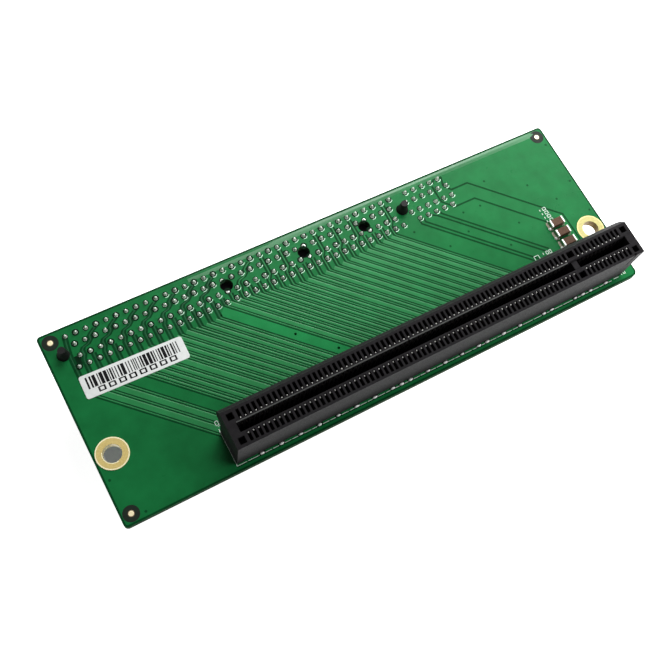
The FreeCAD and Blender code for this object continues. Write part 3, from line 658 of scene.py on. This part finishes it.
def make_vias():
    """Vias under the mask, which show as dark dimples."""
    vias = Shape()
    for x, y in VIAS:
        vias.disc(PLUG_X + x, PLUG_Y + y, COPPER_Z, VIA_RADIUS, 12)
    vias.piece("tented_vias", DIMPLE, "laminate")


# ---- Placing marks, margin, rings, and what lies in front of the slot ----
MARK_INSET = 2.0  # middle of a placing mark to each edge
DOT_PROFILE = ((0.50, TOP), (0.50, TOP + 0.04), (0.46, TOP + 0.05))
HALO_RADII = (0.49, 0.64)
FIELD_RADII = (0.63, 1.54)

# the print's outline: corners, their radius, and the angle at which each begins
CORNERS = ((BOARD_LEFT, BOARD_FRONT, 0.8, 180), (BOARD_RIGHT, BOARD_FRONT, 1.2, 270),
           (BOARD_RIGHT, BOARD_BACK, 0.8, 0), (BOARD_LEFT, BOARD_BACK, 0.8, 90))
LEAST_CORNER = 0.05

# the copper's rolled edge along the back: inset, height, and share of the roll's rise
ROLL_PROFILE = ((0.42, 0.012, 0.0), (0.60, 0.012, 0.45), (0.85, 0.012, 1.0), (1.10, 0.014, 0.7),
                (1.6, 0.006, 0.0))
ROLL_RISE = 0.105
ROLL_LEFT, ROLL_RIGHT = BOARD_LEFT + 30.0, BOARD_RIGHT - 1.5
ROLL_STEPS = 24

RIM_WIDTH = 0.24  # painted highlight along the outer edge of a mounting ring
LIP_WIDTH = 0.16  # the part of its inner edge that has a painted highlight
LIP_ANGLES = (150, 285)
RIM_LIFT = 0.004

# solder spots along the slot's front, whitened as a painted highlight, from its key
FRONT_SPOTS = (-69.5, -65.5, -61.5, -57.5, -53.5, -49.5, -45.5, -41.5, -39.5, -37.5, -33.5, -29.5, -25.5,
               -21.5, -19.5, -15.5, -11.5, -5.5, -3.5, 2.5, 4.5, 6.5, 10.5)
FRONT_SPOT_Y = -3.62
SPOT_PROFILE = ((1.0, TOP), (0.94, TOP + 0.12), (0.7, TOP + 0.22), (0.2, TOP + 0.26))
SPOT_OPENING = ((-0.72, -0.36), (0.72, -0.36), (0.72, 0.36), (-0.72, 0.36))

# the white line along the slot's front, from the slot's key
LINE_Y = SLOT_Y + FRONT_SPOT_Y - 0.12
LINE_ENDS = (-75.3, 12.6)
LINE_TAIL = 13.9
LINE_LEAST = 1.9  # spots nearer together than this have no line between them
CORNER_X = SLOT_X - 74.55  # its upright part at the slot's left end

# plain frames at the slot's ends, from that upright part: upper left corner and size
END_FRAMES = ((-0.1, 5.6, 0.55, 0.8), (0.75, 5.1, 0.45, 0.7), (89.4, -3.1, 0.2, 0.5),
              (89.95, -3.0, 0.42, 0.55))
# plain frames in front of the chips, from the plug's key: left side and size
CHIP_FRAMES = ((19.9, 1.1, 0.95), (22.2, 0.25, 0.5), (22.9, 0.5, 0.7), (23.7, 0.45, 0.75))


def make_fiducials():
    """Copper dots for the placing machine, in wide openings of the mask."""
    dots, halos, fields = Shape(), Shape(), Shape()
    left, right = BOARD_LEFT + MARK_INSET, BOARD_RIGHT - MARK_INSET
    back, front = BOARD_BACK - MARK_INSET, BOARD_FRONT + MARK_INSET
    for x, y in ((left, back), (right, back), (left, front)):
        dots.turned(x, y, DOT_PROFILE, 24)
        halos.annulus(x, y, SILK_Z, *HALO_RADII, 24)
        fields.annulus(x, y, SILK_Z, *FIELD_RADII, 32)
    dots.piece("fiducial_dots", DOT, "gold")
    halos.piece("fiducial_halos", HALO, "laminate")
    fields.piece("fiducial_fields", FIELD, "laminate")


def board_outline(inset, z):
    """The board's outline, anticlockwise, drawn in by inset millimetres."""
    ring = []
    for x, y, radius, start in CORNERS:
        into_x, into_y = math.copysign(1.0, -x), 1.0 if y < 0 else -1.0
        reach = max(radius - inset, LEAST_CORNER)
        shift = max(inset - radius + LEAST_CORNER, 0.0)
        for turn in QUARTER:
            angle = math.radians(start + turn)
            ring.append((x + into_x * radius + reach * math.cos(angle) + into_x * shift,
                         y + into_y * radius + reach * math.sin(angle) + into_y * shift, z))
    return ring


def make_margin():
    """The strip without copper along the board's edges, and the copper's step and roll."""
    edges = [board_outline(inset, TOP + z)
             for inset, z in ((0.03, 0.006), (0.40, 0.010), (0.60, 0.016), (0.90, 0.010))]
    margin = Shape()
    margin.rings(edges[:2], cap_last=False)
    margin.piece("copper_free_margin", GAP, "laminate")
    step = Shape()
    step.rings(edges[1:], cap_last=False)
    step.piece("copper_step", POUR, "laminate", smooth=80)

    points = []
    for number in range(ROLL_STEPS + 1):
        along = number / ROLL_STEPS
        x = ROLL_LEFT + (ROLL_RIGHT - ROLL_LEFT) * along
        rise = ROLL_RISE * min(1.0, max(0.0, along - 0.20) * 2.5) * min(1.0, (1.0 - along) * 12)
        points += [(x, BOARD_BACK - inset, TOP + (z + rise * share)) for inset, z, share in ROLL_PROFILE]
    wide = len(ROLL_PROFILE)
    roll = Shape()
    roll.add(points, [[row * wide + side, row * wide + side + 1, (row + 1) * wide + side + 1,
                       (row + 1) * wide + side] for row in range(ROLL_STEPS) for side in range(wide - 1)])
    roll.piece("rolled_back_edge", ROLL, "laminate", smooth=80)


def make_ring_rims():
    """Painted highlights on the edges of the gold rings, and the plating of their bores; the left bore is
    lined with the bright highlight finish, painted lighter.
    """
    # the left ring's edges and bore lining are painted brighter than the right ring's
    for side, edge, lining in (("left", BRIGHT_GOLD_EDGE_HIGHLIGHT, BRIGHT_GOLD_EDGE_HIGHLIGHT), ("right", GOLD_EDGE_HIGHLIGHT, BARREL)):
        low, high = box_mm("mounting_ring_" + side)
        x, y, outer = (low[0] + high[0]) / 2, (low[1] + high[1]) / 2, (high[0] - low[0]) / 2
        inner, level = RING_BORE / 2, high[2] + RIM_LIFT
        rims = Shape()
        rims.annulus(x, y, level, outer - RIM_WIDTH, outer - 0.01, 48)
        rims.annulus(x, y, level, inner + 0.01, inner + LIP_WIDTH, 40, *LIP_ANGLES)
        rims.piece("ring_edge_highlights_" + side, edge, "gold")
        barrel = Shape()
        barrel.rings([oval(x, y, z, inner - 0.015, inner - 0.015, 48) for z in (TOP + 0.002, BOTTOM - 0.002)],
                     cap_last=False)
        barrel.piece("ring_barrel_" + side, lining, "gold")


def frame_mark(silk, x, y, wide, high):
    """A small plain frame of printed strokes from its upper left corner, or one stroke if it is narrow."""
    if wide < 0.3:
        silk.ribbon([(x, y), (x, y - high)], 0.15, SILK_Z)
        return
    silk.ribbon([(x, y), (x, y - high), (x + wide, y - high), (x + wide, y)], 0.13, SILK_Z)
    silk.ribbon([(x, y), (x + wide, y)], 0.13, SILK_Z)


def broken(low, high, chance):
    """The parts of a worn line: a long one has a small break."""
    if high - low < 1.0:
        return [(low, high)]
    middle = low + (high - low) * chance.uniform(0.4, 0.6)
    return [(low, middle - 0.12), (middle + 0.12, high)]


def make_front_spots():
    """Solder at the foot of the slot's front wall, whitened as a painted highlight, with dark openings and a
    dark strip round it as painted shade; the line that it breaks, and the other white print.
    """
    spots, dark, silk = Shape(), Shape(), Shape()
    chance = random.Random(3)
    for x in FRONT_SPOTS:
        long = 0.50 + chance.uniform(-0.06, 0.08)
        wide = 0.22 + chance.uniform(-0.03, 0.04)
        spot_x, spot_y = SLOT_X + x, SLOT_Y + FRONT_SPOT_Y
        spots.rings([oval(spot_x, spot_y, z, long * share, wide * share, 16) for share, z in SPOT_PROFILE])
        # a near-black opening round each spot, as painted shade at the wall's foot
        dark.flat([(spot_x + along, spot_y + out, COPPER_Z) for along, out in SPOT_OPENING])
    stops = [LINE_ENDS[0], *FRONT_SPOTS, LINE_ENDS[1]]
    for here, there in zip(stops, stops[1:]):
        if there - here < LINE_LEAST:
            continue
        for low, high in broken(here + 0.62, there - 0.62, chance):
            silk.ribbon([(SLOT_X + low, LINE_Y), (SLOT_X + high, LINE_Y)], 0.12, SILK_Z)
        # a near-black strip beside the line, as painted shade at the wall's foot
        dark.ribbon([(SLOT_X + here + 0.7, LINE_Y - 0.20), (SLOT_X + there - 0.7, LINE_Y - 0.20)], 0.16,
                    COPPER_Z)
    silk.ribbon([(CORNER_X, SLOT_Y + 4.5), (CORNER_X - 0.05, SLOT_Y - 3.7)], 0.14, SILK_Z)
    silk.ribbon([(CORNER_X, SLOT_Y + 4.5), (CORNER_X + 0.55, SLOT_Y + 4.6)], 0.12, SILK_Z)
    for x, y, wide, high in END_FRAMES:
        frame_mark(silk, CORNER_X + x, SLOT_Y + y, wide, high)
    silk.ribbon([(SLOT_X + LINE_ENDS[1], LINE_Y + 0.1), (SLOT_X + LINE_TAIL, LINE_Y + 0.1)], 0.15, SILK_Z)
    for row in range(4):
        frame_mark(silk, PLUG_X + 27.85 + 0.05 * row, PLUG_Y - 12.3 - 0.95 * row, 0.72, 0.58)
        frame_mark(silk, PLUG_X + 27.15 + 0.05 * row, PLUG_Y - 12.4 - 0.95 * row, 0.2, 0.42)
    for x, wide, high in CHIP_FRAMES:
        frame_mark(silk, PLUG_X + x, PLUG_Y - 21.3, wide, high)
    spots.piece("front_solder", SOLDER_PAINTED_HIGHLIGHT, "solder", smooth=60)
    dark.piece("front_openings_painted_shade", CLEARANCE_WITH_PAINTED_SHADE, "laminate")
    silk.piece("white_outline", SILK, "label_paper")


# ---- The slot's details, its contacts, the chips and the label ----
# a near-black block as painted shade in the slit of the slot's front wall: its sides from the short end, and
# its depth and foot
SLIT_LEFT, SLIT_RIGHT = 2.345, 1.855
SLIT_IN, SLIT_OUT = 0.4, 0.07
SLIT_DOWN = 4.6

# the painted highlight along the lead-in at the groove's back, from the slot's key: where it runs, and its
# sloping face
HIGHLIGHT_PARTS = ((-72.6, -38.0), (-37.6, -1.4))
LEAD_IN_LOW, LEAD_IN_HIGH = (0.905, 0.185), (1.085, 0.005)

SPRING_HALF = 0.09  # half the thickness of a contact's strip

# solder at a chip's feet: reach past its end and its sides, and height
FILLET_STEPS = ((0.42, 0.22, 0.0), (0.32, 0.18, 0.07), (0.15, 0.08, 0.22), (0.05, 0.03, 0.48),
                (0.01, 0.01, 0.80))
# beads at a chip's corner, whitened as painted highlights: radius and height
LARGE_BEAD = ((0.36, TOP), (0.33, TOP + 0.18), (0.22, TOP + 0.34), (0.08, TOP + 0.40))
SMALL_BEAD = ((0.16, TOP), (0.13, TOP + 0.10), (0.05, TOP + 0.15))

LABEL_TURN = math.radians(-1.7)
LABEL_LENGTH = 20.1
LABEL_WIDTH = 4.7
LABEL_CORNER = 0.5
BARS_FROM, BARS_TO = 1.0, 1.2  # bars begin and end this far from the label's ends
BAR_TOP, BAR_BOTTOM = 0.62, 2.95
BOX_COUNT = 8
BOX_FROM = 2.55
BOX_STEP = 1.98
BOX_TOP, BOX_BOTTOM = 3.12, 4.15


def make_housing_details():
    """A near-black block in the slit of the front wall as painted shade, and a painted highlight along the
    lead-in at the groove's back.
    """
    slit = Shape()
    slit.block((SLOT_HIGH[0] - SLIT_LEFT, SLOT_LOW[1] + SLIT_OUT, SLOT_TOP - SLIT_DOWN),
               (SLOT_HIGH[0] - SLIT_RIGHT, SLOT_LOW[1] + SLIT_IN, SLOT_TOP - 0.04))
    slit.piece("slit_painted_shade_block", SLIT_PAINTED_SHADE, "housing_plastic")
    highlight = Shape()
    for low, high in HIGHLIGHT_PARTS:
        highlight.flat([(SLOT_X + x, SLOT_Y + out - 0.005, SLOT_TOP - 0.006 - down)
                   for x, (out, down) in ((low, LEAD_IN_LOW), (high, LEAD_IN_LOW),
                                          (high, LEAD_IN_HIGH), (low, LEAD_IN_HIGH))])
    highlight.piece("lead_in_painted_highlight", LEAD_IN_HIGHLIGHT, "housing_plastic")


def make_slot_contacts():
    """Spring contacts: a strip that rises from its foot, bows into the groove and bends back at its tip."""
    for side, sign in (("back", 1), ("front", -1)):
        for tag, first, count in (("short", FIRST_CONTACT, SHORT_CONTACTS),
                                  ("long", LAST_CONTACT, LONG_CONTACTS)):
            name = "slot_contacts_%s_%s" % (side, tag)
            low, high = box_mm(name)
            foot, tip = low[2], high[2]
            # distance from the slot's centre line, height, and half width
            course = [(2.2, foot, 0.20), (2.15, foot + 2.0, 0.20), (1.75, foot + 4.0, 0.18),
                      (1.10, foot + 5.4, 0.17), (0.92, foot + 5.9, 0.17), (1.02, foot + 6.5, 0.16),
                      (1.40, tip - 0.7, 0.13), (1.52, tip - 0.12, 0.12), (1.50, SLOT_TOP - 0.30, 0.11),
                      (1.48, SLOT_TOP - 0.18, 0.09)]
            shape = Shape()
            for step in range(count):
                x = SLOT_X + first + step
                rings = []
                for out, z, half in course:
                    inner = SLOT_Y + sign * (out - SPRING_HALF)
                    outer = SLOT_Y + sign * (out + SPRING_HALF)
                    rings.append([(x - half, inner, z), (x + half, inner, z), (x + half, outer, z),
                                  (x - half, outer, z)])
                shape.rings(rings, cap_first=True)
            shape.piece("spring_" + name, SPRING_PAINTED_LIGHT, "contact_metal", [name], smooth=40)


def make_capacitors():
    """Chips: a ceramic with softened edges, tinned ends that wrap round it, solder at their feet, and
    whitened beads at their corners as painted highlights.
    """
    fillets, beads = Shape(), Shape()
    for number in (1, 2, 3):
        low, high = box_mm("capacitor_%d" % number)
        end_low, end_high = box_mm("capacitor_ends_%d" % number)
        ceramic = Shape()
        ceramic.block((low[0] - 0.12, low[1], low[2]), (high[0] + 0.12, high[1], high[2]), 0.05)
        ceramic.piece("chip_%d" % number, CERAMIC, "ceramic", ["capacitor_%d" % number], smooth=20)
        ends = Shape()
        for x0, x1 in ((end_low[0], low[0] - 0.08), (high[0] + 0.08, end_high[0])):
            ends.block((x0, end_low[1], end_low[2]), (x1, end_high[1], end_high[2]), 0.09)
        ends.piece("chip_ends_%d" % number, TIN, "capacitor_end", ["capacitor_ends_%d" % number], smooth=20)
        middle = (end_low[1] + end_high[1]) / 2
        half = (end_high[1] - end_low[1]) / 2
        for inner, outer, out in ((low[0], end_low[0], -1), (high[0], end_high[0], 1)):
            rings = []
            for reach, wide, rise in FILLET_STEPS:
                path = ((inner, -half - wide), (outer + out * reach * 0.6, -half - wide),
                        (outer + out * reach, -half * 0.7), (outer + out * reach, half * 0.7),
                        (outer + out * reach * 0.6, half + wide), (inner, half + wide))
                rings.append([(x, middle + y, TOP + rise) for x, y in path])
            fillets.rings(rings, cap_last=False)
        beads.turned(end_low[0] - 0.22, end_low[1] + 0.22, LARGE_BEAD, 12)
        beads.turned(end_low[0] + 0.25, end_low[1] - 0.10, SMALL_BEAD, 10)
    fillets.piece("chip_solder", FILLET, "solder", smooth=60)
    beads.piece("chip_solder_beads", SOLDER_PAINTED_HIGHLIGHT, "solder", smooth=60)


def make_label():
    """A paper label with round corners, a field of bars and a row of plain boxes below it."""
    low, high = box_mm("barcode_label")
    cos, sin = math.cos(LABEL_TURN), math.sin(LABEL_TURN)
    corner_x, corner_y = low[0] - LABEL_WIDTH * sin, high[1]
    thick = high[2] - low[2]

    def place(along, down, z):
        """A point on the label from its upper left corner, in the row frame."""
        return (corner_x + along * cos + down * sin, corner_y + along * sin - down * cos, z)

    def outline(inset, z):
        """The label's outline with round corners, anticlockwise."""
        radius = LABEL_CORNER - inset
        first, right, front = LABEL_CORNER, LABEL_LENGTH - LABEL_CORNER, LABEL_WIDTH - LABEL_CORNER
        ring = []
        for along, down, start in ((first, front, 180), (right, front, 270), (right, first, 0),
                                   (first, first, 90)):
            for turn in QUARTER:
                angle = math.radians(start + turn)
                ring.append(place(along + radius * math.cos(angle), down - radius * math.sin(angle), z))
        return ring

    def bar(along, wide, top, bottom):
        """A printed bar."""
        z = high[2] - 0.003
        ink.flat([place(along, bottom, z), place(along + wide, bottom, z), place(along + wide, top, z),
                  place(along, top, z)])

    paper = Shape()
    paper.rings([outline(0.0, low[2]), outline(0.0, high[2] - thick * 0.4), outline(0.04, high[2] - 0.006)])
    paper.piece("label_sheet", PAPER, "label_paper", ["barcode_label"], smooth=30)

    ink = Shape()
    chance = random.Random(11)
    along = BARS_FROM
    while along < LABEL_LENGTH - BARS_TO:
        wide = chance.choice((0.19, 0.19, 0.34, 0.34, 0.62))
        bar(along, wide, BAR_TOP, BAR_BOTTOM)
        along += wide + chance.choice((0.19, 0.19, 0.36))
    for number in range(BOX_COUNT):
        along = BOX_FROM + BOX_STEP * number
        bar(along, 0.34, BOX_TOP, BOX_BOTTOM)
        bar(along + 1.06, 0.34, BOX_TOP, BOX_BOTTOM)
        bar(along + 0.30, 0.80, BOX_TOP, BOX_TOP + 0.22)
        bar(along + 0.30, 0.80, BOX_BOTTOM - 0.22, BOX_BOTTOM)
    ink.piece("label_print", INK, "label_paper")


make_joints()
make_traces()
make_vias()
make_fiducials()
make_margin()
make_ring_rims()
make_front_spots()
make_housing_details()
make_slot_contacts()
make_capacitors()
make_label()


# ---- Finishes of the CAD nodes that stay ----
def dress(name, material, soften=0.0):
    """Gives a CAD node its finish, and takes off its sharp edges by soften millimetres."""
    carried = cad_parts[name]
    carried.data.materials.clear()
    carried.data.materials.append(material)
    if soften:
        weld = carried.modifiers.new("weld", "WELD")
        weld.merge_threshold = 0.001 * MM
        bevel = carried.modifiers.new("soften", "BEVEL")
        bevel.width = soften * MM
        bevel.segments = 1
        bevel.limit_method = "ANGLE"
        bevel.angle_limit = math.radians(35)


dress("circuit_board", POUR)
dress("slot_housing", BLACK, soften=0.06)
dress("plug_housing", PEG_BLACK)
dress("mounting_ring_left", GOLD)
dress("mounting_ring_right", GOLD_PAINTED_DARKER)
for group in ("back_short", "back_long", "front_short", "front_long"):
    dress("plug_contacts_" + group, CONTACT)


# ---- Floor, light and camera ----
FLOOR_DROP = 0.3 * MM  # below the plug's tip
FLOOR_HALF = 1.5
FLOOR_NEAR, FLOOR_FAR = 0.06, 0.14  # metres from the middle, between which the floor's glow rises
# glow of the floor near the middle, far out, and in the painted shadow under the board
GLOW_NEAR, GLOW_FAR, GLOW_IN_PAINTED_SHADOW = 0.93, 1.0, 0.10

# the floor's painted shadow under the board: axis, edge where it begins, and line where it is full
PAINTED_SHADOW_UNDER_BOARD = (("X", BOARD_LEFT - 0.2, BOARD_LEFT + 1.8), ("X", BOARD_RIGHT, BOARD_RIGHT - 6.0),
               ("Y", BOARD_FRONT + 3.6, BOARD_FRONT + 9.0), ("Y", BOARD_BACK, BOARD_BACK - 6.0))


def seen_rays(owner):
    """A socket that is 1 for rays that show the background: seen directly, in gloss and through glass."""
    path = node(owner, "ShaderNodeLightPath")
    total = path.outputs["Is Camera Ray"]
    for ray in ("Is Glossy Ray", "Is Transmission Ray"):
        total = node(owner, "ShaderNodeMath", "MAXIMUM", at0=total, at1=path.outputs[ray]).outputs[0]
    return total


def make_floor():
    """A plain white floor just under the plug's tip, which keeps the part's shadow.

    It glows where it is seen, so that it is as white as the backdrop, and its glow is dim well under the
    board, as a painted shadow.
    """
    material = new_material("floor_white", (0.9, 0.9, 0.9), 0.9)
    place = node(material, "ShaderNodeTexCoord").outputs["Object"]
    apart = node(material, "ShaderNodeSeparateXYZ", Vector=place)
    painted_shadow = None
    for axis, edge, inside in PAINTED_SHADOW_UNDER_BOARD:
        rise = node(material, "ShaderNodeMapRange", Value=apart.outputs[axis], at1=edge * MM, at2=inside * MM)
        factor = rise.outputs["Result"]
        if painted_shadow is not None:
            factor = node(material, "ShaderNodeMath", "MULTIPLY", at0=painted_shadow, at1=factor).outputs[0]
        painted_shadow = factor
    away = node(material, "ShaderNodeVectorMath", "LENGTH", at0=place)
    open_floor = node(material, "ShaderNodeMapRange", Value=away.outputs["Value"], at1=FLOOR_NEAR,
                      at2=FLOOR_FAR, at3=GLOW_NEAR, at4=GLOW_FAR)
    open_floor = open_floor.outputs["Result"]
    shade = node(material, "ShaderNodeMapRange", Value=painted_shadow, at3=open_floor, at4=GLOW_IN_PAINTED_SHADOW)
    glow = node(material, "ShaderNodeEmission", Strength=shade.outputs["Result"])
    lit = material.node_tree.nodes["Principled BSDF"].outputs[0]
    both = node(material, "ShaderNodeAddShader", at0=lit, at1=glow.outputs[0])
    mix = node(material, "ShaderNodeMixShader", at0=seen_rays(material), at1=lit, at2=both.outputs[0])
    output = material.node_tree.nodes["Material Output"]
    material.node_tree.links.new(mix.outputs[0], output.inputs["Surface"])
    z = CAD_BOX[0][2] - FLOOR_DROP
    corners = [(x * FLOOR_HALF, y * FLOOR_HALF, z) for x, y in ((-1, -1), (1, -1), (1, 1), (-1, 1))]
    mesh = bpy.data.meshes.new("floor")
    mesh.from_pydata(corners, [], [(0, 1, 2, 3)])
    mesh.materials.append(material)
    floor = new_object("floor", mesh)


# softboxes: name, azimuth and elevation in degrees, distance and size in metres, power in watts
SOFTBOXES = (
    ("front", -36.0, 42.0, 0.22, 0.13, 0.28),
    ("back", 68.0, 45.0, 0.24, 0.14, 0.40),
    ("low", 34.0, 30.0, 0.19, 0.13, 0.27),
)
AIM = (0.0, 0.005, 0.0)  # about the middle of the board
ROOM = 0.055  # brightness of the room where it isn't seen


def add_softbox(name, azimuth, elevation, distance, size, power):
    """A square area light that faces the aim from its azimuth and elevation."""
    light = bpy.data.lights.new(name, "AREA")
    light.shape = "SQUARE"
    light.size = size
    light.energy = power
    holder = new_object(name, light)
    around, rise = math.radians(azimuth), math.radians(elevation)
    flat = math.cos(rise) * distance
    place = Vector((flat * math.cos(around) + AIM[0], flat * math.sin(around) + AIM[1],
                    distance * math.sin(rise) + AIM[2]))
    holder.location = place
    holder.rotation_euler = (Vector(AIM) - place).to_track_quat("-Z", "Y").to_euler()


def make_light():
    """Softboxes in an evenly lit room, whose backdrop is white where it is seen."""
    world = bpy.data.worlds.new("room")
    bpy.context.scene.world = world
    world.use_nodes = True
    backdrop = world.node_tree.nodes["Background"]
    backdrop.inputs["Color"].default_value = (1, 1, 1, 1)
    seen = node(world, "ShaderNodeMapRange", Value=seen_rays(world), To_Min=ROOM, To_Max=1.0)
    world.node_tree.links.new(seen.outputs["Result"], backdrop.inputs["Strength"])
    for softbox in SOFTBOXES:
        add_softbox(*softbox)


# the camera's place in metres, its turn in degrees, and its lens
CAMERA_PLACE = (-0.05209, -0.04337, 0.15653)
CAMERA_TURN = (19.327, -8.146, -29.091)
CAMERA_LENS = 46.29
CAMERA_SHIFT = (-0.0392, 0.0532)


def make_camera():
    """The camera, at the viewing angle of a product photograph from the front left and above."""
    camera = bpy.data.cameras.new("camera")
    camera.lens = CAMERA_LENS
    camera.sensor_width = 36.0
    camera.shift_x, camera.shift_y = CAMERA_SHIFT
    camera.clip_start = 0.01
    holder = new_object("camera", camera)
    holder.location = CAMERA_PLACE
    holder.rotation_euler = [math.radians(angle) for angle in CAMERA_TURN]
    bpy.context.scene.camera = holder


make_floor()
make_light()
make_camera()
bpy.context.scene.view_settings.view_transform = "Standard"
